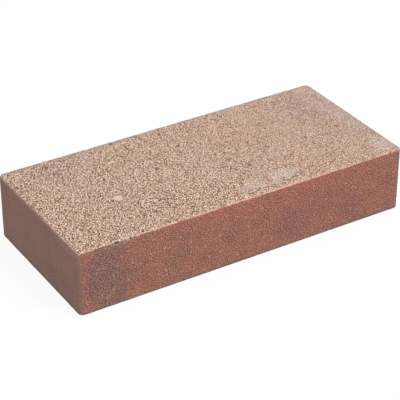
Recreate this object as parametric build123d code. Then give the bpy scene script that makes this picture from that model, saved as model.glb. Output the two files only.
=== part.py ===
"""Solid concrete paving brick, dry-cast as one piece in an open steel mould.

The brick is a flat rectangular block. The mould box turns each vertical corner on a small
radius. The face that is struck off at the top of the mould has a softened arris all round,
and the bed face, which is pressed on the casting pallet, keeps a crisper one.

Frame: the origin is the centre of the bed face, +X runs along the length, +Y across the
width and +Z up to the struck face. Sizes are in millimetres.
"""

import os

from build123d import *

# Driving dimensions
BRICK_LENGTH = 203.0
BRICK_WIDTH = 92.0
BRICK_HEIGHT = 38.0
MOULD_CORNER_RADIUS = 3.0
STRUCK_ARRIS_RADIUS = 1.0
BED_ARRIS_RADIUS = 0.5

PARTS_FOLDER = "parts"


def cast_block() -> Part:
    """The mould's plan outline, filled to the brick's height."""
    plan = RectangleRounded(BRICK_LENGTH, BRICK_WIDTH, MOULD_CORNER_RADIUS)
    return extrude(plan, BRICK_HEIGHT)


def soften_arrises(block: Part) -> Part:
    """Rounds the edge loop of the bed face, then that of the struck face."""
    bed_face = block.faces().sort_by(Axis.Z)[0]
    block = fillet(bed_face.edges(), BED_ARRIS_RADIUS)
    struck_face = block.faces().sort_by(Axis.Z)[-1]
    return fillet(struck_face.edges(), STRUCK_ARRIS_RADIUS)


def make_brick() -> Part:
    """The whole brick, resting on its bed face."""
    return soften_arrises(cast_block())


os.makedirs(PARTS_FOLDER, exist_ok=True)
export_step(make_brick(), os.path.join(PARTS_FOLDER, "brick.step"))
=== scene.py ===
"""Dresses the dry-cast concrete brick: its open struck face, its mould-drawn sides and its worn arrises.

The brick is one casting, so it is one piece here too. Its mesh starts as the mould's block, is cut into
a fine grid and is then weathered point by point. Vertex marks carry the wear to the material, so that
colour and relief agree. They also carry painted light: painted shade in the hollows, on the ends and
along the bed, and a painted highlight on the front arris. Lengths are in millimetres up to the point
where a mesh or a pattern needs metres, the frame's unit.
"""

import logging
import math
import random
from collections.abc import Iterator, Mapping, Sequence
from dataclasses import dataclass
from enum import Enum
from typing import Any, NamedTuple

import bmesh
import bpy
from mathutils import Matrix, Vector, kdtree, noise


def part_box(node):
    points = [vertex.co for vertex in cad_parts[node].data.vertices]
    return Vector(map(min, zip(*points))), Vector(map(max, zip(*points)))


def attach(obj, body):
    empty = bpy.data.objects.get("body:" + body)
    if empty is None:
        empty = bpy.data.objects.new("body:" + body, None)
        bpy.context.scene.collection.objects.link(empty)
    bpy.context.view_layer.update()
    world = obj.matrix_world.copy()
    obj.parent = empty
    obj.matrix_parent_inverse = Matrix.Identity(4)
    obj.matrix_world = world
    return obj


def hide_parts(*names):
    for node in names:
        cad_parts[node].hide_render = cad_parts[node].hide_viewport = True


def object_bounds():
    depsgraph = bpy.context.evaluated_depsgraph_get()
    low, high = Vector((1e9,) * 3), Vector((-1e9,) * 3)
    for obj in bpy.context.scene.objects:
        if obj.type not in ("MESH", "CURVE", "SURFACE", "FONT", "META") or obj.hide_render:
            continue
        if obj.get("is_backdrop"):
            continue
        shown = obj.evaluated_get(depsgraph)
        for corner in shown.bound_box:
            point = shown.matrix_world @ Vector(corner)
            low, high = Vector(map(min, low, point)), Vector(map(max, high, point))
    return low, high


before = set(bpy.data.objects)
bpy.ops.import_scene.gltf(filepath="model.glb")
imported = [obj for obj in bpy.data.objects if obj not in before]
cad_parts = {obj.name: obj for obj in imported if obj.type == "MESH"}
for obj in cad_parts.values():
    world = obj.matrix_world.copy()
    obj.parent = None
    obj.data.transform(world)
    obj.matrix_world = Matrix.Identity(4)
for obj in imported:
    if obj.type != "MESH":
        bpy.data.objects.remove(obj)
CAD_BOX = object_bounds()

MM = 0.001
BODY = "root"
NODE = "brick"

# How far two heights may differ, in millimetres, and still be one level
LEVEL_TOLERANCE = 0.01
# Steps from one noise to the next, counted in lumps and uneven, so that no two noises line up
LAYER_STEPS = (1.0, 2.3, -1.7)
# The transfer curve of the sRGB standard
SRGB_KNEE, SRGB_SLOPE, SRGB_OFFSET, SRGB_POWER = 0.04045, 12.92, 0.055, 2.4
# Blender's numbers for the sockets of a Mix node, on colours and on plain numbers
MIX_FACTOR, MIX_A, MIX_B, MIX_RESULT = 0, 6, 7, 2
NUMBER_A, NUMBER_B, NUMBER_RESULT = 2, 3, 0
COLOUR_MIX = {"data_type": "RGBA"}

log = logging.getLogger("brick")


class Face(Enum):
    """A face of the brick: its normal's axis, its normal's sign and the two axes that run in it."""

    STRUCK = (2, 1, (0, 1))
    BED = (2, -1, (0, 1))
    FRONT = (1, -1, (0, 2))
    BACK = (1, 1, (0, 2))
    LEFT = (0, -1, (1, 2))
    RIGHT = (0, 1, (1, 2))

    def facing(self, direction: Vector) -> float:
        """How far a normal turns to this face's own outward direction."""
        axis, sign, _ = self.value
        return direction[axis] * sign

    def within(self, at: Vector) -> tuple[float, float]:
        """A point's two coordinates in this face."""
        first, second = self.value[2]
        return at[first], at[second]


class Mark(Enum):
    """A vertex attribute that carries wear, colour or painted light and shade from the mesh to the
    material.
    """

    STRUCK = "struck"
    # Painted shade: darkening painted into the gaps, pits, chips and pebble rims and below the worn arris
    CAVITY = "cavity"
    CHARCOAL = "charcoal"
    VIOLET = "violet"
    PALE = "pale"
    PASTE = "paste"
    WARM = "warm"
    STONE = "stone"
    # Painted shade on the ends
    END = "end"
    # Dust, and along the bed arrises painted contact shadow
    DUST = "dust"
    # Rubbed bare paste, and the painted highlight on the front arris
    RUBBED = "rubbed"


class Layer(Enum):
    """A noise of its own for each kind of relief or wear."""

    SWELL = 1
    GRAIN = 2
    LUMP = 3
    GAP = 4
    CLUSTER = 5
    DRAWN_LUMP = 6
    DRAG = 7
    STAIN = 8
    SKIN_LINE = 9
    BITE = 10
    CHIP = 11
    STONE = 12
    PIT = 13
    CORNER = 14
    RUB = 15


class Blend(Enum):
    """How a colour goes over another, by Blender's name for it."""

    COVER = "MIX"
    GLAZE = "MULTIPLY"


class Ease(NamedTuple):
    """A soft step from 0 at one value to 1 at another, which may be the lower of the two."""

    none: float
    full: float

    def share(self, value: float) -> float:
        """How far a value is over the step, from 0 to 1."""
        part = min(1.0, max(0.0, (value - self.none) / (self.full - self.none)))
        return part * part * (3.0 - 2.0 * part)


class Span(NamedTuple):
    """The least and the most that a value can be."""

    least: float
    most: float

    def at(self, share: float) -> float:
        """The value that lies a share of the way from the least to the most."""
        return self.least + (self.most - self.least) * share


class Hollow(NamedTuple):
    """How far a point lies under the mould's surface, in millimetres, and how much painted shade darkens
    it.
    """

    depth: float
    cavity: float


def sway(at: Vector, size: float, layer: Layer) -> float:
    """Smooth noise over the brick, the same on each run.

    Args:
        at: Point in millimetres.
        size: Size of the noise's lumps in millimetres.
        layer: Which noise it is.

    Returns:
        A share from -0.5 to 0.5, mostly near the middle.
    """
    return 0.5 * noise.noise(at / size + Vector([step * layer.value for step in LAYER_STEPS]))


def ripple(at: Vector, size: float, layer: Layer) -> float:
    """The same noise as a share from 0 to 1."""
    return 0.5 + sway(at, size, layer)


@dataclass(frozen=True)
class OpenSkin:
    """Relief of the struck face: grains that stand up, gaps between them and a slow swell."""

    swell: float = 0.12
    swell_size: float = 38.0
    grain: float = 0.1
    grain_size: float = 1.25
    lump: float = 0.03
    lump_size: float = 2.8
    gap: float = 0.4
    gap_size: float = 1.3
    gap_edge: Ease = Ease(0.65, 0.8)
    gap_shade: float = 0.35
    cluster_size: float = 15.0
    cluster_edge: Ease = Ease(0.35, 0.65)
    openness: Span = Span(0.3, 1.0)

    def hollow(self, at: Vector) -> Hollow:
        """Works out the relief at a point.

        Args:
            at: Point in millimetres.

        Returns:
            The depth and the painted shade in the gaps there.
        """
        cluster = self.cluster_edge.share(ripple(at, self.cluster_size, Layer.CLUSTER))
        gap = self.gap_edge.share(ripple(at, self.gap_size, Layer.GAP)) * self.openness.at(cluster)
        depth = (
            self.swell * ripple(at, self.swell_size, Layer.SWELL)
            + self.grain * ripple(at, self.grain_size, Layer.GRAIN)
            + self.lump * ripple(at, self.lump_size, Layer.LUMP)
            + self.gap * gap
        )
        return Hollow(depth, self.gap_shade * gap)


@dataclass(frozen=True)
class DrawnSkin:
    """Relief of the sides: a close skin with shallow lumps that the mould has dragged upwards."""

    lump: float = 0.07
    lump_size: float = 3.2
    drag: float = 0.06
    drag_size: float = 3.5
    drag_stretch: float = 14.0

    def depth(self, at: Vector) -> float:
        """Works out the relief at a point.

        Args:
            at: Point in millimetres.

        Returns:
            The depth there in millimetres.
        """
        along = Vector((at.x, at.y, at.z / self.drag_stretch))
        lump = self.lump * ripple(at, self.lump_size, Layer.DRAWN_LUMP)
        return lump + self.drag * ripple(along, self.drag_size, Layer.DRAG)


@dataclass(frozen=True)
class SkinLine:
    """The wandering line along the arris where the open skin of the struck face meets the drawn skin."""

    inset: float = 0.8
    outer_fade: float = 0.5
    inner_fade: float = 0.3
    drop_fade: float = 0.6
    jitter: float = 0.8
    jitter_size: float = 1.6
    drop_jitter: float = 0.5

    def struck(self, at: Vector, inset: float, drop: float, worn: float, spill: float) -> float:
        """Works out how much of the open skin a point has.

        Args:
            at: Point in millimetres.
            inset: Distance inside the mould's plan outline in millimetres.
            drop: Distance below the struck face in millimetres.
            worn: How worn the arris is there, as a share.
            spill: How far the open skin reaches below the struck face, in millimetres.

        Returns:
            A share from 0 on the sides to 1 on the struck face.
        """
        jitter = self.jitter * sway(at, self.jitter_size, Layer.SKIN_LINE)
        line = self.inset * (1.0 - worn)
        inside = Ease(line - self.outer_fade, line + self.inner_fade).share(inset + jitter)
        return inside * Ease(spill + self.drop_fade, spill).share(drop - self.drop_jitter * jitter)


@dataclass(frozen=True)
class BittenArris:
    """Small bites out of the struck face's arris, deeper where it is worn, with painted shadow below it."""

    bite: float = 1.3
    bite_size: float = 2.2
    bite_start: float = 0.42
    least: float = 0.15
    reach: Ease = Ease(2.2, 0.6)
    undercut_shade: Ease = Ease(0.45, 0.65)
    undercut_shade_drop: Ease = Ease(0.2, 0.7)
    shade: float = 0.5

    def hollow(self, at: Vector, inset: float, drop: float, worn: float) -> Hollow:
        """Works out the bites at a point.

        Args:
            at: Point in millimetres.
            inset: Distance inside the mould's plan outline in millimetres.
            drop: Distance below the struck face in millimetres.
            worn: How worn the arris is there, as a share.

        Returns:
            The depth that the bites add there, and the painted shadow below the arris.
        """
        near = self.reach.share(max(inset, drop))
        lost = ripple(at, self.bite_size, Layer.BITE)
        depth = self.bite * max(0.0, lost - self.bite_start) * (self.least + worn * worn) * near
        undercut_shade = worn * worn * self.undercut_shade.share(lost) * near * self.undercut_shade_drop.share(drop)
        return Hollow(depth, self.shade * undercut_shade)


@dataclass(frozen=True)
class WornStretch:
    """A length of the struck face's arris that has lost its skin of paste."""

    face: Face
    start: float
    end: float
    amount: float
    spill: float = 0.2
    fade: float = 4.0

    def worn(self, at: Vector, out: float) -> float:
        """Works out how worn the arris is at a point.

        Args:
            at: Point in millimetres.
            out: Distance from this stretch's face in millimetres.

        Returns:
            A share from 0 to the stretch's amount.
        """
        along = self.face.within(at)[0]
        ends = Ease(self.start - self.fade, self.start).share(along)
        ends *= Ease(self.end + self.fade, self.end).share(along)
        return self.amount * ends * Ease(self.fade, 0.0).share(out)


@dataclass(frozen=True)
class Stain:
    """A soft oval on one face where the skin has another colour. Its edge is in shares of its reach."""

    face: Face
    mark: Mark
    centre: tuple[float, float]
    reach: tuple[float, float]
    strength: float
    ragged: float = 0.9
    ragged_size: float = 5.0
    edge: Ease = Ease(1.25, 0.45)
    least_facing: float = 0.5

    def covers(self, normal: Vector) -> bool:
        """Whether a point with this normal belongs to the stain's face."""
        return self.face.facing(normal) > self.least_facing

    def weight(self, at: Vector) -> float:
        """Works out how strong the stain is at a point of its face.

        Args:
            at: Point in millimetres.

        Returns:
            A share from 0 to the stain's strength.
        """
        across, up = self.face.within(at)
        away = math.hypot((across - self.centre[0]) / self.reach[0], (up - self.centre[1]) / self.reach[1])
        away += self.ragged * sway(at, self.ragged_size, Layer.STAIN)
        return self.strength * self.edge.share(away)


@dataclass(frozen=True)
class Pit:
    """A hole in the struck face where a grain has dropped out.

    Its reach and its wall are in shares of its radius.
    """

    centre: tuple[float, float]
    radius: float
    depth: float
    reach: float = 1.3
    wall: Ease = Ease(1.25, 0.35)
    ragged: float = 0.6
    ragged_size: float = 1.2
    shade: float = 0.9

    def hollow(self, at: Vector, away: float) -> Hollow:
        """Works out the pit at a point.

        Args:
            at: Point in millimetres.
            away: Distance from the pit's centre in millimetres.

        Returns:
            The depth that the pit adds there, and the painted shade in it.
        """
        share = self.wall.share(away / self.radius + self.ragged * sway(at, self.ragged_size, Layer.PIT))
        return Hollow(share * self.depth, self.shade * share)


@dataclass(frozen=True)
class Stone:
    """A pale pebble that lies flush in the struck face.

    Its reach, its edge and its rim are in shares of its radius.
    """

    centre: tuple[float, float]
    radius: float
    reach: float = 1.4
    edge: Ease = Ease(1.0, 0.7)
    ragged: float = 0.8
    ragged_size: float = 2.0
    depth: float = 0.1
    dome: float = 0.15
    rim_inner: Ease = Ease(0.75, 0.95)
    rim_outer: Ease = Ease(1.3, 1.0)
    rim_shade: float = 0.5

    def lie(self, at: Vector, away: float) -> tuple[float, Hollow]:
        """Works out the pebble at a point.

        Args:
            at: Point in millimetres.
            away: Distance from the pebble's centre in millimetres.

        Returns:
            How much of the point is pebble, and the pebble's depth and the painted shade of its rim there.
        """
        out = away / self.radius + self.ragged * sway(at, self.ragged_size, Layer.STONE)
        rim = self.rim_shade * self.rim_inner.share(out) * self.rim_outer.share(out)
        return self.edge.share(out), Hollow(self.depth + self.dome * out * out, rim)


@dataclass(frozen=True)
class Chip:
    """A scoop broken out of an arris: a ball, drawn out along the length, whose inside is gone."""

    centre: tuple[float, float, float]
    radius: float
    stretch: float = 1.0
    margin: float = 2.0
    ragged: float = 0.9
    ragged_size: float = 1.6
    shade: float = 0.4
    dark: Ease = Ease(0.0, 0.4)

    @property
    def reach(self) -> float:
        """Distance from the centre within which points can be gone, in millimetres."""
        return self.margin * self.radius * self.stretch

    def scoop(self, at: Vector) -> tuple[Vector, float]:
        """Pushes a point out of the ball and into the brick.

        Args:
            at: Point in millimetres.

        Returns:
            The point's new place and the painted shade of the hole there. A point out of the ball's reach
            stays.
        """
        away = at - Vector(self.centre)
        away.x /= self.stretch
        radius = self.radius * (1.0 + self.ragged * sway(at, self.ragged_size, Layer.CHIP))
        gone = 1.0 - away.length / radius
        if gone <= 0.0:
            return at, 0.0
        away = away.normalized() * radius
        away.x *= self.stretch
        return Vector(self.centre) + away, self.shade * self.dark.share(gone)


@dataclass(frozen=True)
class WornCorner:
    """A corner of the struck face that is rubbed down across its diagonal."""

    side: tuple[int, int]
    loss: float
    ragged: float = 0.7
    ragged_size: float = 2.0
    bare: Ease = Ease(0.0, 0.4)

    @property
    def outward(self) -> Vector:
        """Unit vector out of the corner."""
        return Vector((*self.side, 1.0)).normalized()

    def over(self, at: Vector, reach: float) -> float:
        """Works out how far a point stands over the rubbed surface.

        Args:
            at: Point in millimetres.
            reach: How far the brick reaches out of the corner, in millimetres.

        Returns:
            The height over the surface in millimetres, 0 or less where the point is left alone.
        """
        height = at @ self.outward - reach + self.loss
        if height < -self.ragged:
            return height
        return height + self.ragged * sway(at, self.ragged_size, Layer.CORNER)


@dataclass(frozen=True)
class DustAndShadeArris:
    """An arris between two faces that has gone grey with dust and handling; along the bed the grey is also
    painted contact shadow.
    """

    faces: tuple[Face, Face]
    reach: Ease = Ease(2.8, 1.0)

    def weight(self, first: float, second: float) -> float:
        """How grey a point is with dust and painted shade, from its distances inside the two faces in
        millimetres.
        """
        return self.reach.share(math.hypot(first, second))


@dataclass(frozen=True)
class PaintedArrisHighlight:
    """Painted highlight in patches on the struck face's arris along one side, where it turns up to the
    light.
    """

    face: Face
    reach: Ease = Ease(1.5, 0.6)
    turn: Ease = Ease(0.3, 0.6)
    patch: Ease = Ease(0.25, 0.6)
    patch_size: float = 3.0

    def weight(self, at: Vector, out: float, normal: Vector) -> float:
        """Works out how much painted highlight a point has.

        Args:
            at: Point in millimetres.
            out: Distance inside this arris's side in millimetres.
            normal: The point's normal.

        Returns:
            A share from 0 to 1.
        """
        patch = self.patch.share(ripple(at, self.patch_size, Layer.RUB))
        return self.reach.share(out) * self.turn.share(normal.z) * patch


@dataclass(frozen=True)
class RubbedCorner:
    """An upright corner between two faces whose skin of paste is rubbed thin."""

    faces: tuple[Face, Face]
    amount: float
    turn: Ease = Ease(0.1, 0.5)

    def weight(self, normal: Vector) -> float:
        """How bare a point is, from how far its normal turns to both faces."""
        first, second = (self.turn.share(face.facing(normal)) for face in self.faces)
        return self.amount * first * second


@dataclass(frozen=True)
class EndShade:
    """An end of the brick, whose skin is closer and greyer than on the long sides: painted shade for the
    cool light there.
    """

    face: Face
    amount: float
    turn: Ease = Ease(0.55, 0.9)

    def weight(self, normal: Vector) -> float:
        """How much of the end's painted shade a point has, from how far its normal turns to the end."""
        return self.amount * self.turn.share(self.face.facing(normal))


# Where the photograph shows wear and colour, in millimetres from the middle of the bed face
WORST_STRETCH = WornStretch(Face.FRONT, -101.5, -63.0, 1.0)
STRETCHES = (
    WORST_STRETCH,
    WornStretch(Face.FRONT, -81.0, -66.0, 1.0, 1.4),
    WornStretch(Face.FRONT, -63.0, 101.5, 0.12),
    WornStretch(Face.LEFT, -46.0, 46.0, 0.55, 0.7),
    WornStretch(Face.BACK, -101.5, 101.5, 0.5),
    WornStretch(Face.RIGHT, -46.0, 46.0, 0.5),
)
STAINS = (
    Stain(Face.FRONT, Mark.CHARCOAL, (-87.5, 27.0), (12.5, 19.0), 0.7, 1.0, 9.0),
    Stain(Face.FRONT, Mark.CHARCOAL, (-84.0, 12.0), (14.5, 17.0), 0.7, 1.0, 9.0),
    Stain(Face.FRONT, Mark.CHARCOAL, (-97.0, 16.0), (9.0, 26.0), 0.25, 0.6),
    Stain(Face.FRONT, Mark.CHARCOAL, (-44.0, 15.0), (6.0, 6.0), 0.3),
    Stain(Face.FRONT, Mark.CHARCOAL, (-43.6, 30.0), (4.0, 5.0), 0.25),
    Stain(Face.FRONT, Mark.VIOLET, (28.0, 14.0), (16.0, 9.0), 0.5),
    Stain(Face.FRONT, Mark.VIOLET, (47.5, 20.0), (9.0, 9.0), 0.5),
    Stain(Face.FRONT, Mark.VIOLET, (66.0, 15.0), (9.0, 9.0), 0.5),
    Stain(Face.FRONT, Mark.PALE, (-89.5, 8.0), (10.0, 4.0), 0.8),
    Stain(Face.FRONT, Mark.PALE, (-66.0, 20.0), (36.0, 26.0), 0.25),
    Stain(Face.FRONT, Mark.WARM, (-96.5, 2.0), (6.5, 3.5), 0.5),
    Stain(Face.FRONT, Mark.WARM, (4.0, 35.0), (56.0, 8.0), 0.45, 0.6),
    Stain(Face.FRONT, Mark.WARM, (68.0, 30.0), (12.0, 12.0), 0.2),
    Stain(Face.LEFT, Mark.PALE, (-32.0, 38.5), (30.0, 8.0), 1.0, 0.3),
    Stain(Face.LEFT, Mark.PALE, (16.0, 38.5), (44.0, 6.0), 0.7, 0.3),
    # The top of the left end is rubbed, and its pale colour there is partly a painted highlight
    Stain(Face.LEFT, Mark.RUBBED, (-34.0, 38.5), (26.0, 6.0), 0.6, 0.3),
    Stain(Face.LEFT, Mark.RUBBED, (14.0, 38.5), (40.0, 5.0), 0.3, 0.3),
    Stain(Face.LEFT, Mark.WARM, (36.0, 32.0), (14.0, 9.0), 0.16),
    Stain(Face.LEFT, Mark.VIOLET, (-24.0, 8.0), (16.0, 9.0), 0.12),
    Stain(Face.STRUCK, Mark.PALE, (30.0, -34.0), (9.0, 6.0), 0.6),
    Stain(Face.STRUCK, Mark.PALE, (10.0, -36.0), (8.0, 5.0), 0.5),
    Stain(Face.STRUCK, Mark.PALE, (96.0, -36.0), (8.0, 9.0), 0.7),
    Stain(Face.STRUCK, Mark.PALE, (96.0, 16.0), (12.0, 34.0), 0.28, 0.5),
    Stain(Face.STRUCK, Mark.WARM, (32.0, 14.0), (17.0, 15.0), 0.4),
    Stain(Face.STRUCK, Mark.WARM, (-28.0, 27.0), (22.0, 12.0), 0.2),
    Stain(Face.STRUCK, Mark.WARM, (55.0, 37.0), (10.0, 7.0), 0.25),
    Stain(Face.STRUCK, Mark.CHARCOAL, (85.0, 18.0), (18.0, 28.0), 0.6),
    Stain(Face.STRUCK, Mark.CHARCOAL, (90.0, -16.0), (8.0, 8.0), 0.4),
    Stain(Face.STRUCK, Mark.CHARCOAL, (-74.0, 33.0), (22.0, 10.0), 0.4),
    Stain(Face.STRUCK, Mark.PASTE, (92.0, 4.0), (90.0, 70.0), 0.34),
)
PITS = (
    Pit((-54.4, -30.6), 1.2, 1.0),
    Pit((-51.8, -32.8), 0.9, 0.8),
    Pit((-57.6, -33.5), 0.8, 0.8),
    Pit((-40.1, -21.8), 1.2, 1.0),
    Pit((-37.4, -24.6), 0.9, 0.9),
    Pit((-42.6, -18.4), 0.8, 0.7),
    Pit((19.7, -15.6), 1.3, 1.1),
    Pit((22.6, -13.8), 0.8, 0.8),
    Pit((16.8, -17.2), 0.8, 0.7),
    Pit((-98.6, 28.2), 1.1, 0.9),
    Pit((-97.9, 23.5), 1.2, 1.0),
    Pit((-33.1, 43.1), 1.2, 1.1),
    Pit((-18.2, 43.2), 1.0, 0.9),
)
STONES = (Stone((-58.2, -9.5), 2.9), Stone((-20.5, 12.6), 1.3), Stone((-72.0, 9.0), 1.1))
CHIPS = (Chip((-79.6, -46.4, 37.0), 1.1, 2.6), Chip((-70.0, -46.4, 37.3), 1.0, 3.6))
DUST_AND_SHADE_ARRISES = (
    DustAndShadeArris((Face.STRUCK, Face.BACK), Ease(4.6, 1.8)),
    DustAndShadeArris((Face.STRUCK, Face.RIGHT), Ease(4.6, 1.8)),
    DustAndShadeArris((Face.FRONT, Face.RIGHT), Ease(4.0, 1.6)),
    DustAndShadeArris((Face.BACK, Face.RIGHT)),
    DustAndShadeArris((Face.BACK, Face.LEFT)),
    # Along the bed the grey is painted contact shadow as well as dust
    DustAndShadeArris((Face.FRONT, Face.BED)),
    DustAndShadeArris((Face.LEFT, Face.BED)),
    DustAndShadeArris((Face.BACK, Face.BED)),
    DustAndShadeArris((Face.RIGHT, Face.BED)),
)
ARRIS_HIGHLIGHT = PaintedArrisHighlight(Face.FRONT)
RUBBED_CORNER = RubbedCorner((Face.FRONT, Face.LEFT), 0.5)
# Painted shade: all of it on the shaded left end, less on the lit right end
END_SHADES = (EndShade(Face.LEFT, 1.0), EndShade(Face.RIGHT, 0.6))
CORNERS = (
    WornCorner((-1, -1), 0.35),
    WornCorner((-1, 1), 0.3),
    WornCorner((1, -1), 0.1),
    WornCorner((1, 1), 0.15),
)


def set_object(name: str, data: bpy.types.ID) -> bpy.types.Object:
    """Makes an object from its data and links it to the scene.

    Args:
        name: Name of the object.
        data: Its mesh, camera or lamp.

    Returns:
        The object, at the origin.
    """
    item = bpy.data.objects.new(name, data)
    bpy.context.scene.collection.objects.link(item)
    return item


def set_mesh(name: str, mesh: bmesh.types.BMesh) -> bpy.types.Object:
    """Makes an object from a finished mesh, which is then free.

    Args:
        name: Name of the object and of its mesh.
        mesh: The mesh in metres.

    Returns:
        The object, at the origin.
    """
    data = bpy.data.meshes.new(name)
    mesh.to_mesh(data)
    mesh.free()
    return set_object(name, data)


def empty_tree(owner: bpy.types.Material | bpy.types.World) -> bpy.types.NodeTree:
    """Gives a material or a world a node tree with nothing in it.

    Args:
        owner: The material or the world.

    Returns:
        Its node tree.
    """
    owner.use_nodes = True
    owner.node_tree.nodes.clear()
    return owner.node_tree


def linear(colour: str) -> tuple[float, float, float, float]:
    """Turns an sRGB hex colour to linear light.

    Args:
        colour: Colour such as "#A0705F".

    Returns:
        Linear red, green and blue, and an alpha of 1.
    """
    light = []
    for start in (1, 3, 5):
        level = int(colour[start:start + 2], 16) / 255
        curve = ((level + SRGB_OFFSET) / (1.0 + SRGB_OFFSET)) ** SRGB_POWER
        light.append(level / SRGB_SLOPE if level <= SRGB_KNEE else curve)
    return light[0], light[1], light[2], 1.0


def per_metre(size: float) -> float:
    """Pattern scale at which one cell or lump is the given size in millimetres."""
    return 1.0 / (size * MM)


def add_node(
    tree: bpy.types.NodeTree,
    kind: str,
    settings: Mapping[str, Any] | None = None,
    inputs: Mapping[str | int, Any] | None = None,
    stops: Sequence[tuple[float, str]] = (),
) -> bpy.types.Node:
    """Adds one node with its settings, its inputs and, on a ramp, its stops.

    Args:
        tree: Node tree to add to.
        kind: Blender's name for the node.
        settings: Values for the node's own properties.
        inputs: For each input's name or number, a value or the output that feeds it.
        stops: Positions and hex colours of a colour ramp, in order.

    Returns:
        The new node.
    """
    node = tree.nodes.new(kind)
    for name, value in (settings or {}).items():
        setattr(node, name, value)
    for socket, value in (inputs or {}).items():
        if isinstance(value, bpy.types.NodeSocket):
            tree.links.new(value, node.inputs[socket])
        else:
            node.inputs[socket].default_value = value
    for number, (position, colour) in enumerate(stops):
        elements = node.color_ramp.elements
        stop = elements[number] if number < len(elements) else elements.new(position)
        stop.position = position
        stop.color = linear(colour)
    return node


class Tint(NamedTuple):
    """A colour that a mark brings in, the most of it that shows and how it goes on."""

    mark: Mark
    colour: str
    most: float = 1.0
    blend: Blend = Blend.COVER


def lay_tints(
    tree: bpy.types.NodeTree, colour: bpy.types.NodeSocket, tints: Sequence[Tint]
) -> bpy.types.NodeSocket:
    """Lays the colours that marks bring in over another colour, one after the other.

    Args:
        tree: The material's node tree.
        colour: Output that gives the colour below.
        tints: The colours to lay.

    Returns:
        An output that gives the colour with all of them on it.
    """
    for tint in tints:
        found = add_node(tree, "ShaderNodeAttribute", {"attribute_name": tint.mark.value})
        share = add_node(
            tree, "ShaderNodeMath", {"operation": "MULTIPLY"}, {0: found.outputs["Fac"], 1: tint.most}
        )
        colour = add_node(
            tree,
            "ShaderNodeMix",
            COLOUR_MIX | {"blend_type": tint.blend.value},
            {MIX_FACTOR: share.outputs[0], MIX_A: colour, MIX_B: linear(tint.colour)},
        ).outputs[MIX_RESULT]
    return colour


class Shade(NamedTuple):
    """What a finish gives the material: its colour and the height of its fine relief."""

    colour: bpy.types.NodeSocket
    height: bpy.types.NodeSocket


class Sand(NamedTuple):
    """Nodes of a bed of sand: its colour and how far each point lies from its grain's middle."""

    colour: bpy.types.NodeSocket
    distance: bpy.types.NodeSocket


@dataclass(frozen=True)
class SandBed:
    """Sand in paste: grains of many tones, each in a dark gap, with a few grains lost.

    Distances from a grain's middle and its tones are shares: of the grains' spacing, and of the way up
    the stops.
    """

    stops: tuple[tuple[float, str], ...]
    # Much of such sand is finer than 0.5 mm. The view has under two pixels to a millimetre, so a finer
    # pattern than this one would blur to a flat tone
    spacing: float = 0.7
    gap_inner: float = 0.32
    gap_outer: float = 0.55
    gap_depth: float = 0.87
    dull: float = 0.6
    bright: float = 0.9
    lost_share: float = 0.04
    lost_depth: float = 0.4

    def lay(self, tree: bpy.types.NodeTree, place: bpy.types.NodeSocket) -> Sand:
        """Builds the sand's nodes.

        Args:
            tree: The material's node tree.
            place: Output that gives the place on the face, of which the first two coordinates count.

        Returns:
            The sand's colour and the distances in it.
        """
        grains = add_node(
            tree,
            "ShaderNodeTexVoronoi",
            {"voronoi_dimensions": "2D"},
            {"Vector": place, "Scale": per_metre(self.spacing)},
        )
        draw = add_node(tree, "ShaderNodeSeparateColor", inputs={"Color": grains.outputs["Color"]})
        level = add_node(
            tree,
            "ShaderNodeMapRange",
            inputs={"Value": draw.outputs["Red"], "To Min": self.dull, "To Max": self.bright},
        )
        gap = add_node(
            tree,
            "ShaderNodeMapRange",
            {"interpolation_type": "SMOOTHSTEP"},
            {
                "Value": grains.outputs["Distance"],
                "From Min": self.gap_inner,
                "From Max": self.gap_outer,
                "To Max": self.gap_depth,
            },
        )
        tone = add_node(
            tree, "ShaderNodeMath", {"operation": "SUBTRACT"}, {0: level.outputs[0], 1: gap.outputs[0]}
        )
        lost = add_node(
            tree,
            "ShaderNodeMath",
            {"operation": "LESS_THAN"},
            {0: draw.outputs["Green"], 1: self.lost_share},
        )
        tone = add_node(
            tree,
            "ShaderNodeMath",
            {"operation": "MULTIPLY_ADD"},
            {0: lost.outputs[0], 1: -self.lost_depth, 2: tone.outputs[0]},
        )
        colour = add_node(tree, "ShaderNodeValToRGB", inputs={"Fac": tone.outputs[0]}, stops=self.stops)
        return Sand(colour.outputs["Color"], grains.outputs["Distance"])


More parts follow.
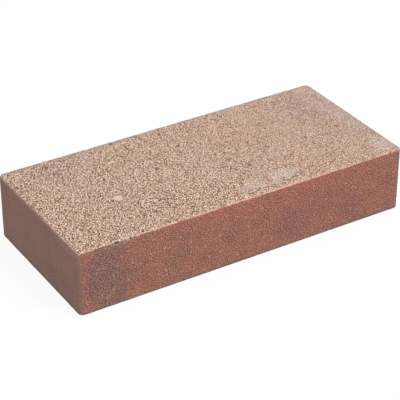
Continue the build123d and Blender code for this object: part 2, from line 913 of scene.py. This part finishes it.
@dataclass(frozen=True)
class SingleGrains:
    """Coarse grains that stand out from the sand: a round spot in some of the cells of a wide pattern.

    The spacing and the radius are in millimetres, and the heart and the rim of a spot in shares of its
    radius.
    """

    spacing: float
    radius: float
    colour: str
    most: float = 0.9
    heart: float = 0.6
    rim: float = 1.3

    def lay(
        self,
        tree: bpy.types.NodeTree,
        place: bpy.types.NodeSocket,
        below: bpy.types.NodeSocket,
        rarity: bpy.types.NodeSocket | float,
    ) -> bpy.types.NodeSocket:
        """Builds the grains' nodes.

        Args:
            tree: The material's node tree.
            place: Output that gives the Object coordinates.
            below: Output that gives the colour between the grains.
            rarity: Share of the cells that stay empty, or the output that gives it.

        Returns:
            An output that gives the colour with the grains on it.
        """
        cells = add_node(
            tree, "ShaderNodeTexVoronoi", inputs={"Vector": place, "Scale": per_metre(self.spacing)}
        )
        pick = add_node(tree, "ShaderNodeSeparateColor", inputs={"Color": cells.outputs["Color"]})
        chosen = add_node(
            tree, "ShaderNodeMath", {"operation": "GREATER_THAN"}, {0: pick.outputs["Red"], 1: rarity}
        )
        size = self.radius / self.spacing
        near = add_node(
            tree,
            "ShaderNodeMapRange",
            inputs={
                "Value": cells.outputs["Distance"],
                "From Min": self.rim * size,
                "From Max": self.heart * size,
                "To Max": self.most,
            },
        )
        shown = add_node(
            tree, "ShaderNodeMath", {"operation": "MULTIPLY"}, {0: chosen.outputs[0], 1: near.outputs[0]}
        )
        return add_node(
            tree,
            "ShaderNodeMix",
            COLOUR_MIX,
            {MIX_FACTOR: shown.outputs[0], MIX_A: below, MIX_B: linear(self.colour)},
        ).outputs[MIX_RESULT]


@dataclass(frozen=True)
class StruckFinish:
    """Open face struck off at the top of the mould.

    Sand grains stand in a lean paste with gaps between them, so the eye sees a sandpaper of cream, tan and
    brown points, with pinkish and greyish areas where the pigment is richer or poorer.
    """

    # A drawn grain is about a pixel wide and blends with the gap round it. So the light stops are near
    # white, and the dark ones a full brown that keeps the hue of the blend steady
    sand: SandBed = SandBed(
        stops=((0.0, "#5D2A00"), (0.35, "#7D4B01"), (0.6, "#D2B9A9"), (0.8, "#FEE8D9"), (1.0, "#FFE8DB")),
        gap_inner=0.38,
        gap_outer=0.58,
        gap_depth=0.9,
        dull=0.5,
        bright=1.0,
        lost_depth=0.6,
    )
    single_grains: tuple[SingleGrains, ...] = (
        SingleGrains(2.2, 0.42, "#FFF2E6"),
        SingleGrains(2.0, 0.42, "#3E1C04"),
    )
    single_rarity: float = 0.62
    # Clouds of paste several grains wide, and wider areas where the mix is richer or poorer
    cloud_size: float = 6.0
    cloud_stops: tuple[tuple[float, str], ...] = ((0.35, "#FEFCF3"), (0.65, "#FFF7F7"))
    area_size: float = 26.0
    area_detail: float = 3.0
    area_stops: tuple[tuple[float, str], ...] = ((0.36, "#BEA592"), (0.62, "#C49B86"))
    area_share: float = 0.05
    # Rich and grey paste, a pale haze, dust, pebbles, and the painted shade in the gaps, pits, chips and
    # pebble rims
    tints: tuple[Tint, ...] = (
        Tint(Mark.WARM, "#FFEFE8", blend=Blend.GLAZE),
        Tint(Mark.CHARCOAL, "#EAF0F8", blend=Blend.GLAZE),
        Tint(Mark.PALE, "#E2D4CC", 0.45),
        Tint(Mark.DUST, "#A49C98", 0.4),
        Tint(Mark.STONE, "#EAD2C2", 0.75),
        Tint(Mark.CAVITY, "#35231A", 0.85),
    )

    def shade(self, tree: bpy.types.NodeTree, place: bpy.types.NodeSocket) -> Shade:
        """Builds the finish's nodes.

        Args:
            tree: The material's node tree.
            place: Output that gives the Object coordinates.

        Returns:
            The finish's colour and fine relief.
        """
        sand = self.sand.lay(tree, place)
        colour = sand.colour
        for grains in self.single_grains:
            colour = grains.lay(tree, place, colour, self.single_rarity)
        cloud = add_node(
            tree, "ShaderNodeTexNoise", inputs={"Vector": place, "Scale": per_metre(self.cloud_size)}
        )
        tinge = add_node(
            tree, "ShaderNodeValToRGB", inputs={"Fac": cloud.outputs["Fac"]}, stops=self.cloud_stops
        )
        area = add_node(
            tree,
            "ShaderNodeTexNoise",
            inputs={"Vector": place, "Scale": per_metre(self.area_size), "Detail": self.area_detail},
        )
        paste = add_node(
            tree, "ShaderNodeValToRGB", inputs={"Fac": area.outputs["Fac"]}, stops=self.area_stops
        )
        rich = add_node(tree, "ShaderNodeAttribute", {"attribute_name": Mark.PASTE.value})
        for blend, share, source in (
            (Blend.GLAZE, 1.0, tinge),
            (Blend.COVER, self.area_share, paste),
            (Blend.COVER, rich.outputs["Fac"], paste),
        ):
            colour = add_node(
                tree,
                "ShaderNodeMix",
                COLOUR_MIX | {"blend_type": blend.value},
                {MIX_FACTOR: share, MIX_A: colour, MIX_B: source.outputs["Color"]},
            ).outputs[MIX_RESULT]
        dome = add_node(tree, "ShaderNodeMath", {"operation": "SUBTRACT"}, {0: 1.0, 1: sand.distance})
        return Shade(lay_tints(tree, colour, self.tints), dome.outputs[0])


@dataclass(frozen=True)
class DrawnFinish:
    """Sides drawn up the steel mould.

    The mould drags a skin of red paste over the sand, so the eye sees a close, matt brick red with charcoal
    clouds from the second pigment, faint upright drag marks and a scatter of bare light grains.
    """

    sand: SandBed = SandBed(
        stops=((0.0, "#3A150A"), (0.35, "#884E3E"), (0.6, "#C69181"), (0.8, "#E4B6A6"), (1.0, "#FFE6D6")),
    )
    sand_share: float = 0.47
    # Less sand shows in the ends' painted shade
    end_shade_sand_share: float = 0.26
    light_grains: SingleGrains = SingleGrains(2.2, 0.5, "#E2BE9E")
    light_rarity: float = 0.9
    pale_rarity: float = 0.3
    grain_height: float = 0.3
    # Clouds as wide as the lumps of the damp mix, and drag marks longer than the side is high
    cloud_size: float = 8.0
    cloud_detail: float = 3.0
    drag_width: float = 5.0
    drag_length: float = 60.0
    drag_share: float = 0.3
    paste_stops: tuple[tuple[float, str], ...] = (
        (0.3, "#B27A6A"),
        (0.45, "#C98473"),
        (0.6, "#D18874"),
        (0.75, "#E39179"),
    )
    # The ends' grey, a painted shade for the cool light on the shaded end; charcoal, violet and bright red
    # pigment; bare tan sand; and dust, which along the bed is also painted contact shadow
    tints: tuple[Tint, ...] = (
        Tint(Mark.END, "#CFC5BF", 0.45),
        Tint(Mark.CHARCOAL, "#897473"),
        Tint(Mark.VIOLET, "#B2767A"),
        Tint(Mark.WARM, "#E68A7E"),
        Tint(Mark.PALE, "#C29478", 0.5),
        Tint(Mark.DUST, "#988E8C", 0.5),
    )
    # Painted shade in the chips and below the worn arris of the sides
    gap: Tint = Tint(Mark.CAVITY, "#3A241D")

    def unroll(self, tree: bpy.types.NodeTree, place: bpy.types.NodeSocket) -> bpy.types.NodeSocket:
        """Unrolls the four sides to a strip, so that a flat pattern runs round the upright corners.

        The first coordinate is the length plus or minus the width, by the quarter of the plan, and so grows
        steadily round each corner. The strip breaks only up the middle of each side, where the pattern
        hides it.

        Args:
            tree: The material's node tree.
            place: Output that gives the Object coordinates.

        Returns:
            An output that gives the place on the strip, with the height second.
        """
        parts = add_node(tree, "ShaderNodeSeparateXYZ", inputs={"Vector": place}).outputs
        product = add_node(
            tree, "ShaderNodeMath", {"operation": "MULTIPLY"}, {0: parts["X"], 1: parts["Y"]}
        )
        quarter = add_node(tree, "ShaderNodeMath", {"operation": "SIGN"}, {0: product.outputs[0]})
        width = add_node(
            tree, "ShaderNodeMath", {"operation": "MULTIPLY"}, {0: quarter.outputs[0], 1: parts["Y"]}
        )
        along = add_node(
            tree, "ShaderNodeMath", {"operation": "SUBTRACT"}, {0: parts["X"], 1: width.outputs[0]}
        )
        strip = add_node(tree, "ShaderNodeCombineXYZ", inputs={"X": along.outputs[0], "Y": parts["Z"]})
        return strip.outputs["Vector"]

    def shade(self, tree: bpy.types.NodeTree, place: bpy.types.NodeSocket) -> Shade:
        """Builds the finish's nodes.

        Args:
            tree: The material's node tree.
            place: Output that gives the Object coordinates.

        Returns:
            The finish's colour and fine relief.
        """
        across, upright = per_metre(self.drag_width), per_metre(self.drag_length)
        dragged = add_node(
            tree, "ShaderNodeMapping", inputs={"Vector": place, "Scale": (across, across, upright)}
        )
        drag = add_node(
            tree, "ShaderNodeTexNoise", inputs={"Vector": dragged.outputs["Vector"], "Scale": 1.0}
        )
        cloud = add_node(
            tree,
            "ShaderNodeTexNoise",
            inputs={"Vector": place, "Scale": per_metre(self.cloud_size), "Detail": self.cloud_detail},
        )
        tone = add_node(
            tree,
            "ShaderNodeMix",
            inputs={
                MIX_FACTOR: self.drag_share,
                NUMBER_A: cloud.outputs["Fac"],
                NUMBER_B: drag.outputs["Fac"],
            },
        )
        paste = add_node(
            tree, "ShaderNodeValToRGB", inputs={"Fac": tone.outputs[NUMBER_RESULT]}, stops=self.paste_stops
        )
        colour = lay_tints(tree, paste.outputs["Color"], self.tints)
        # The ends' painted shade also takes away sand and the light grains
        end = add_node(tree, "ShaderNodeAttribute", {"attribute_name": Mark.END.value}).outputs["Fac"]
        pale = add_node(tree, "ShaderNodeAttribute", {"attribute_name": Mark.PALE.value}).outputs["Fac"]
        sand = self.sand.lay(tree, self.unroll(tree, place))
        share = add_node(
            tree,
            "ShaderNodeMapRange",
            inputs={"Value": end, "To Min": self.sand_share, "To Max": self.end_shade_sand_share},
        )
        colour = add_node(
            tree,
            "ShaderNodeMix",
            COLOUR_MIX,
            {MIX_FACTOR: share.outputs[0], MIX_A: colour, MIX_B: sand.colour},
        ).outputs[MIX_RESULT]
        rarity = add_node(
            tree,
            "ShaderNodeMapRange",
            inputs={"Value": pale, "To Min": self.light_rarity, "To Max": self.pale_rarity},
        )
        rarest = add_node(tree, "ShaderNodeMath", {"operation": "ADD"}, {0: rarity.outputs[0], 1: end})
        colour = self.light_grains.lay(tree, place, colour, rarest.outputs[0])
        dip = add_node(
            tree, "ShaderNodeMath", {"operation": "MULTIPLY"}, {0: sand.distance, 1: -self.grain_height}
        )
        return Shade(lay_tints(tree, colour, (self.gap,)), dip.outputs[0])


@dataclass(frozen=True)
class DryCastConcrete:
    """The brick's one material: dry-cast concrete, pigmented red.

    It was rammed damp into a mould and struck off, so it has an open face and drawn sides. Its surface is
    porous and dusty, so the eye sees no gloss on it anywhere.
    """

    name: str = "dry_cast_concrete"
    struck: StruckFinish = StruckFinish()
    drawn: DrawnFinish = DrawnFinish()
    roughness: float = 0.92
    specular: float = 0.15
    # Pale rubbed paste, and the painted highlight on the front arris
    rubbed: Tint = Tint(Mark.RUBBED, "#F0CBBC", 0.5)
    bump_strength: float = 0.6
    grain_relief: float = 0.25

    def build(self) -> bpy.types.Material:
        """Makes the material.

        Returns:
            A material that reads Object coordinates and the brick's marks.
        """
        material = bpy.data.materials.new(self.name)
        tree = empty_tree(material)
        place = add_node(tree, "ShaderNodeTexCoord").outputs["Object"]
        struck = self.struck.shade(tree, place)
        drawn = self.drawn.shade(tree, place)
        mask = add_node(tree, "ShaderNodeAttribute", {"attribute_name": Mark.STRUCK.value}).outputs["Fac"]
        colour = add_node(
            tree,
            "ShaderNodeMix",
            COLOUR_MIX,
            {MIX_FACTOR: mask, MIX_A: drawn.colour, MIX_B: struck.colour},
        ).outputs[MIX_RESULT]
        height = add_node(
            tree,
            "ShaderNodeMix",
            inputs={MIX_FACTOR: mask, NUMBER_A: drawn.height, NUMBER_B: struck.height},
        )
        bump = add_node(
            tree,
            "ShaderNodeBump",
            inputs={
                "Strength": self.bump_strength,
                "Distance": self.grain_relief * MM,
                "Height": height.outputs[NUMBER_RESULT],
            },
        )
        surface = add_node(
            tree,
            "ShaderNodeBsdfPrincipled",
            inputs={
                "Base Color": lay_tints(tree, colour, (self.rubbed,)),
                "Roughness": self.roughness,
                "Specular IOR Level": self.specular,
                "Normal": bump.outputs["Normal"],
            },
        )
        add_node(tree, "ShaderNodeOutputMaterial", inputs={"Surface": surface.outputs["BSDF"]})
        return material


class Weathering:
    """The brick's mesh while it weathers: where its points start, how deep they lie and their marks."""

    def __init__(self, mesh: bmesh.types.BMesh) -> None:
        """Adds the marks to a mesh in metres and notes its points.

        Args:
            mesh: The brick's mesh, cut to its grid.
        """
        self.layers = {mark: mesh.verts.layers.float.new(mark.value) for mark in Mark}
        mesh.normal_update()
        mesh.verts.ensure_lookup_table()
        self.verts = mesh.verts
        self.points = [vert.co / MM for vert in mesh.verts]
        self.depths = [0.0] * len(self.points)
        self.finder = kdtree.KDTree(len(self.points))
        for number, at in enumerate(self.points):
            self.finder.insert(at, number)
        self.finder.balance()

    def raise_mark(self, vert: bmesh.types.BMVert, mark: Mark, share: float) -> None:
        """Brings one mark of a point up to a share, unless it is there already."""
        layer = self.layers[mark]
        vert[layer] = max(vert[layer], share)

    def sink(self) -> None:
        """Sinks each point along its normal to its depth."""
        for vert, at, depth in zip(self.verts, self.points, self.depths):
            vert.co = (at - vert.normal * depth) * MM


@dataclass
class CastBrick:
    """The brick: a mould's block, cut to a grid and weathered."""

    low: Vector
    high: Vector
    name: str = "cast_brick"
    corner_radius: float = 3.0
    struck_arris: float = 1.0
    bed_arris: float = 0.5
    corner_steps: int = 6
    arris_steps: int = 3
    bed_steps: int = 2
    pitch: float = 1.2
    snap_share: float = 0.12
    fine_band: float = 4.0
    open_skin: OpenSkin = OpenSkin()
    drawn_skin: DrawnSkin = DrawnSkin()
    skin_line: SkinLine = SkinLine()
    bitten_arris: BittenArris = BittenArris()
    bed_turn: Ease = Ease(-0.9, -0.5)
    strew_margin: float = 2.0
    small_power: int = 2
    pit_count: int = 150
    pit_seed: int = 7
    pit_radius: Span = Span(0.5, 1.0)
    pit_depth: Span = Span(0.4, 1.0)
    pebble_count: int = 60
    pebble_seed: int = 8
    pebble_radius: Span = Span(0.6, 1.1)
    crumb_count: int = 22
    crumb_seed: int = 9
    crumb_out: float = 0.3
    crumb_drop: Span = Span(0.4, 1.3)
    crumb_radius: Span = Span(0.5, 0.75)
    crumb_stretch: Span = Span(1.0, 2.6)

    def block(self) -> bmesh.types.BMesh:
        """Makes the mould's block with its rounded corners and softened arrises.

        Returns:
            A closed mesh in metres.
        """
        mesh = bmesh.new()
        size = self.high - self.low
        place = Matrix.Translation((self.low + self.high) / 2) @ Matrix.Diagonal(size.to_4d())
        bmesh.ops.create_cube(mesh, size=1.0, matrix=place)
        upright = [e for e in mesh.edges if abs(e.verts[0].co.z - e.verts[1].co.z) > size.z / 2]
        self.bevel(mesh, upright, self.corner_radius, self.corner_steps)
        self.bevel(mesh, self.rim(mesh, self.high.z), self.struck_arris, self.arris_steps)
        self.bevel(mesh, self.rim(mesh, self.low.z), self.bed_arris, self.bed_steps)
        return mesh

    def rim(self, mesh: bmesh.types.BMesh, level: float) -> list[bmesh.types.BMEdge]:
        """The edges that lie at one level, in metres."""
        return [e for e in mesh.edges if all(abs(v.co.z - level) < LEVEL_TOLERANCE * MM for v in e.verts)]

    def bevel(
        self, mesh: bmesh.types.BMesh, edges: list[bmesh.types.BMEdge], radius: float, steps: int
    ) -> None:
        """Rounds edges.

        Args:
            mesh: Mesh that holds the edges.
            edges: Edges to round.
            radius: Radius in millimetres.
            steps: Faces across the rounding.
        """
        bmesh.ops.bevel(
            mesh,
            geom=edges,
            offset=radius * MM,
            offset_type="OFFSET",
            affect="EDGES",
            segments=steps,
            profile=0.5,
            material=-1,
        )

    def cut(self, mesh: bmesh.types.BMesh) -> None:
        """Cuts the block's faces into a grid of the set pitch, along each axis in turn.

        Args:
            mesh: The block's mesh.
        """
        for axis in range(3):
            span = self.high[axis] - self.low[axis]
            count = round(span / (self.pitch * MM))
            normal = Vector((axis == 0, axis == 1, axis == 2))
            for step in range(1, count):
                bmesh.ops.bisect_plane(
                    mesh,
                    geom=mesh.verts[:] + mesh.edges[:] + mesh.faces[:],
                    dist=self.snap_share * self.pitch * MM,
                    plane_co=self.low + normal * (span * step / count),
                    plane_no=normal,
                )

    def refine(self, mesh: bmesh.types.BMesh) -> None:
        """Halves the grid on the struck face and in the band below its arris.

        Args:
            mesh: The block's mesh, cut to its grid.
        """
        level = self.high.z - self.fine_band * MM
        faces = [f for f in mesh.faces if f.calc_center_median().z > level]
        edges = list({e for f in faces for e in f.edges})
        bmesh.ops.subdivide_edges(mesh, edges=edges, cuts=1, use_grid_fill=True)

    def out_of(self, face: Face, at: Vector) -> float:
        """Measures how far a point lies inside one face's plane.

        Args:
            face: The face.
            at: Point in millimetres.

        Returns:
            The distance in millimetres.
        """
        axis, sign, _ = face.value
        plane = (self.high if sign > 0 else self.low)[axis] / MM
        return abs(plane - at[axis])

    def inset(self, at: Vector) -> float:
        """Measures how far a point lies inside the mould's plan outline.

        Args:
            at: Point in millimetres.

        Returns:
            The distance in millimetres.
        """
        half = (self.high - self.low) / (2.0 * MM)
        across = abs(at.x) - half.x + self.corner_radius
        along = abs(at.y) - half.y + self.corner_radius
        outside = math.hypot(max(across, 0.0), max(along, 0.0)) + min(max(across, along), 0.0)
        return self.corner_radius - outside

    def strew(self, count: int, seed: int) -> Iterator[tuple[tuple[float, float], float]]:
        """Strews places over the struck face, inside its arris.

        Args:
            count: How many places.
            seed: Seed of the draw.

        Yields:
            Each place and a share from 0 to 1 for its size, with small ones more common.
        """
        draw = random.Random(seed)
        margin = self.strew_margin * MM
        for _ in range(count):
            across = draw.uniform(self.low.x + margin, self.high.x - margin) / MM
            along = draw.uniform(self.low.y + margin, self.high.y - margin) / MM
            yield (across, along), draw.random() ** self.small_power

    def pits(self) -> Iterator[Pit]:
        """Gathers the pits of the struck face.

        Yields:
            The placed pits, then the small ones that lie all over.
        """
        yield from PITS
        for place, size in self.strew(self.pit_count, self.pit_seed):
            yield Pit(place, self.pit_radius.at(size), self.pit_depth.at(size))

    def stones(self) -> Iterator[Stone]:
        """Gathers the pebbles of the struck face.

        Yields:
            The placed pebbles, then the small ones that lie all over.
        """
        yield from STONES
        for place, size in self.strew(self.pebble_count, self.pebble_seed):
            yield Stone(place, self.pebble_radius.at(size))

    def chips(self) -> Iterator[Chip]:
        """Gathers the chips of the arrises.

        Yields:
            The placed chips, then the crumbs lost all along the worst of the front arris.
        """
        yield from CHIPS
        draw = random.Random(self.crumb_seed)
        front, top = self.low.y / MM, self.high.z / MM
        for _ in range(self.crumb_count):
            along = draw.uniform(WORST_STRETCH.start, WORST_STRETCH.end)
            place = (along, front - self.crumb_out, top - draw.uniform(*self.crumb_drop))
            yield Chip(place, draw.uniform(*self.crumb_radius), draw.uniform(*self.crumb_stretch))

    def wear(self, work: Weathering, vert: bmesh.types.BMVert, at: Vector) -> float:
        """Works out a point's relief and marks its skin.

        Args:
            work: The weathering that the point is part of.
            vert: The point in the mesh.
            at: Its place in millimetres.

        Returns:
            How far it lies under the mould's surface, in millimetres.
        """
        inset, drop = self.inset(at), self.high.z / MM - at.z
        worn, spill = max((s.worn(at, self.out_of(s.face, at)), s.spill) for s in STRETCHES)
        struck = self.skin_line.struck(at, inset, drop, worn, spill)
        opened = self.open_skin.hollow(at)
        bitten = self.bitten_arris.hollow(at, inset, drop, worn)
        work.raise_mark(vert, Mark.STRUCK, struck)
        # Painted shade in the open skin's gaps and below the bitten arris
        work.raise_mark(vert, Mark.CAVITY, max(struck * opened.cavity, bitten.cavity))
        drawn = self.drawn_skin.depth(at) * self.bed_turn.share(vert.normal.z)
        return struck * opened.depth + (1.0 - struck) * drawn + bitten.depth

    def colour(self, work: Weathering, vert: bmesh.types.BMVert, at: Vector) -> None:
        """Marks a point's end skin and its painted shade, its dust and painted contact shadow, its bare
        paste, the painted highlight on the front arris and its stains.

        Args:
            work: The weathering that the point is part of.
            vert: The point in the mesh.
            at: Its place in millimetres.
        """
        out = {face: self.out_of(face, at) for face in Face}
        # Painted shade on the ends
        for end in END_SHADES:
            work.raise_mark(vert, Mark.END, end.weight(vert.normal))
        # Dust, and painted contact shadow along the bed
        for arris in DUST_AND_SHADE_ARRISES:
            work.raise_mark(vert, Mark.DUST, arris.weight(*(out[face] for face in arris.faces)))
        # Painted highlight along the front arris
        bare = ARRIS_HIGHLIGHT.weight(at, out[ARRIS_HIGHLIGHT.face], vert.normal)
        work.raise_mark(vert, Mark.RUBBED, max(bare, RUBBED_CORNER.weight(vert.normal)))
        for stain in STAINS:
            if stain.covers(vert.normal):
                work.raise_mark(vert, stain.mark, stain.weight(at))

    def set_stones(self, work: Weathering) -> None:
        """Lays the pebbles flush in the struck face.

        Args:
            work: The weathering whose depths and marks change.
        """
        cavity = work.layers[Mark.CAVITY]
        for stone in self.stones():
            centre = (*stone.centre, self.high.z / MM)
            for at, number, away in work.finder.find_range(centre, stone.reach * stone.radius):
                vert = work.verts[number]
                share, laid = stone.lie(at, away)
                work.depths[number] += share * (laid.depth - work.depths[number])
                work.raise_mark(vert, Mark.STONE, share)
                # Painted shade round the pebble's rim
                vert[cavity] = max(laid.cavity, vert[cavity] * (1.0 - share))

    def sink_pits(self, work: Weathering) -> None:
        """Sinks the pits into the struck face.

        Args:
            work: The weathering whose depths and marks change.
        """
        for pit in self.pits():
            centre = (*pit.centre, self.high.z / MM)
            for at, number, away in work.finder.find_range(centre, pit.reach * pit.radius):
                hollow = pit.hollow(at, away)
                work.depths[number] += hollow.depth
                # Painted shade in the pit
                work.raise_mark(work.verts[number], Mark.CAVITY, hollow.cavity)

    def break_chips(self, work: Weathering) -> None:
        """Breaks the chips out of the sunk arrises.

        Args:
            work: The weathering whose points and marks change.
        """
        for chip in self.chips():
            for _, number, _ in work.finder.find_range(chip.centre, chip.reach):
                vert = work.verts[number]
                moved, dark = chip.scoop(vert.co / MM)
                # Painted shade in the chip
                work.raise_mark(vert, Mark.CAVITY, dark)
                vert.co = moved * MM

    def rub_corners(self, work: Weathering) -> None:
        """Rubs the sunk corners of the struck face down to bare sand.

        Args:
            work: The weathering whose points and marks change.
        """
        for corner in CORNERS:
            outward = corner.outward
            reach = max(vert.co @ outward for vert in work.verts) / MM
            for vert in work.verts:
                at = vert.co / MM
                over = corner.over(at, reach)
                if over > 0.0:
                    vert.co = (at - outward * over) * MM
                    work.raise_mark(vert, Mark.STRUCK, corner.bare.share(over))

    def weather(self, mesh: bmesh.types.BMesh) -> None:
        """Sinks each point by its wear and writes the marks that the material reads.

        Args:
            mesh: The block's mesh, cut to its grid.
        """
        work = Weathering(mesh)
        for number, (vert, at) in enumerate(zip(work.verts, work.points)):
            work.depths[number] = self.wear(work, vert, at)
            self.colour(work, vert, at)
        self.set_stones(work)
        self.sink_pits(work)
        work.sink()
        self.break_chips(work)
        self.rub_corners(work)

    def build(self) -> bpy.types.Object:
        """Makes the weathered brick.

        Returns:
            The brick's object, at the origin and linked to the scene.
        """
        mesh = self.block()
        self.cut(mesh)
        self.refine(mesh)
        self.weather(mesh)
        for face in mesh.faces:
            face.smooth = True
        return set_mesh(self.name, mesh)

    def dress(self, piece: bpy.types.Object) -> None:
        """Gives the brick its concrete."""
        piece.data.materials.append(DryCastConcrete().build())


@dataclass
class Studio:
    """The plain white table, the soft light and the camera at the photograph's angle."""

    azimuth: float = -31.68
    elevation: float = 31.41
    distance: float = 877.2
    aim_right: float = -1.54
    aim_up: float = 11.26
    lens: float = 141.4
    sensor: float = 36.0
    floor_reach: float = 6000.0
    sun_azimuth: float = 40.0
    sun_elevation: float = 52.0
    sun_strength: float = 1.9
    sun_spread: float = 25.0
    sky_strength: float = 0.6
    white: str = "#FFFFFF"
    white_strength: float = 1.0
    floor_glow: float = 0.91
    floor_grey: str = "#585858"

    def direction(self, azimuth: float, elevation: float) -> Vector:
        """Works out the unit vector from the object towards a place round it.

        Args:
            azimuth: Angle round the object in degrees, with 0 at -Y.
            elevation: Angle above the table in degrees.

        Returns:
            The unit vector.
        """
        turn, rise = math.radians(azimuth), math.radians(elevation)
        level = math.cos(rise)
        return Vector((math.sin(turn) * level, -math.cos(turn) * level, math.sin(rise)))

    def camera(self) -> None:
        """Makes the camera and sets it as the scene's own."""
        back = self.direction(self.azimuth, self.elevation)
        turn = (-back).to_track_quat("-Z", "Y")
        right = turn @ Vector((1.0, 0.0, 0.0))
        up = turn @ Vector((0.0, 1.0, 0.0))
        data = bpy.data.cameras.new("camera")
        data.sensor_width = self.sensor
        data.lens = self.lens
        camera = set_object("camera", data)
        camera.rotation_mode = "QUATERNION"
        camera.rotation_quaternion = turn
        camera.location = (right * self.aim_right + up * self.aim_up + back * self.distance) * MM
        bpy.context.scene.camera = camera

    def lamp(self) -> None:
        """Hangs one broad soft lamp in front, to the right and above."""
        data = bpy.data.lights.new("softbox", "SUN")
        data.energy = self.sun_strength
        data.angle = math.radians(self.sun_spread)
        lamp = set_object("softbox", data)
        towards = self.direction(self.sun_azimuth, self.sun_elevation)
        lamp.rotation_mode = "QUATERNION"
        lamp.rotation_quaternion = (-towards).to_track_quat("-Z", "Y")

    def seen(self, tree: bpy.types.NodeTree) -> bpy.types.NodeSocket:
        """Finds the rays that show the background itself: camera, glossy and transmission rays.

        Args:
            tree: Node tree of the floor or the world.

        Returns:
            An output that is 1 on those rays and 0 on the rays that light the object.
        """
        path = add_node(tree, "ShaderNodeLightPath").outputs
        rays = path["Is Camera Ray"]
        for kind in ("Is Glossy Ray", "Is Transmission Ray"):
            either = add_node(tree, "ShaderNodeMath", {"operation": "MAXIMUM"}, {0: rays, 1: path[kind]})
            rays = either.outputs[0]
        return rays

    def sky(self) -> None:
        """Lights the object evenly from all round and shows plain white behind it."""
        world = bpy.data.worlds.new("sky")
        tree = empty_tree(world)
        white = linear(self.white)
        soft, plain = (
            add_node(tree, "ShaderNodeBackground", inputs={"Color": white, "Strength": strength})
            for strength in (self.sky_strength, self.white_strength)
        )
        mix = add_node(
            tree,
            "ShaderNodeMixShader",
            inputs={0: self.seen(tree), 1: soft.outputs[0], 2: plain.outputs[0]},
        )
        add_node(tree, "ShaderNodeOutputWorld", inputs={"Surface": mix.outputs[0]})
        bpy.context.scene.world = world

    def paper(self) -> bpy.types.Material:
        """Makes the table's matt white paper, on which the eye sees plain white and a soft shadow.

        Returns:
            A material that is grey to the light and white to the camera.
        """
        material = bpy.data.materials.new("white_table")
        tree = empty_tree(material)
        grey = add_node(tree, "ShaderNodeBsdfDiffuse", inputs={"Color": linear(self.floor_grey)})
        glow = add_node(tree, "ShaderNodeEmission", inputs={"Strength": self.floor_glow})
        white = add_node(tree, "ShaderNodeAddShader", inputs={0: grey.outputs[0], 1: glow.outputs[0]})
        mix = add_node(
            tree,
            "ShaderNodeMixShader",
            inputs={0: self.seen(tree), 1: grey.outputs[0], 2: white.outputs[0]},
        )
        add_node(tree, "ShaderNodeOutputMaterial", inputs={"Surface": mix.outputs[0]})
        return material

    def table(self) -> None:
        """Lays the table under the brick, with its paper on it."""
        mesh = bmesh.new()
        bmesh.ops.create_grid(mesh, x_segments=1, y_segments=1, size=self.floor_reach * MM / 2)
        floor = set_mesh("table", mesh)
        floor.data.materials.append(self.paper())
        floor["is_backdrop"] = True

    def build(self) -> None:
        """Sets up the table, the light and the camera."""
        self.table()
        self.sky()
        self.lamp()
        self.camera()
        bpy.context.scene.view_settings.view_transform = "Standard"


def report_size() -> None:
    boxes = {"cad": CAD_BOX, "visual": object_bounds()}
    plain = {name: [list(corner) for corner in box] for name, box in boxes.items()}


def main() -> None:
    """Builds the brick and the studio."""
    logging.basicConfig(level=logging.INFO, format="%(message)s")
    brick = CastBrick(*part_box(NODE))
    piece = brick.build()
    brick.dress(piece)
    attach(piece, BODY)
    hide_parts(NODE)
    log.info("%s: %d points, %d faces", piece.name, len(piece.data.vertices), len(piece.data.polygons))
    Studio().build()
    report_size()


if __name__ == "__main__":
    main()
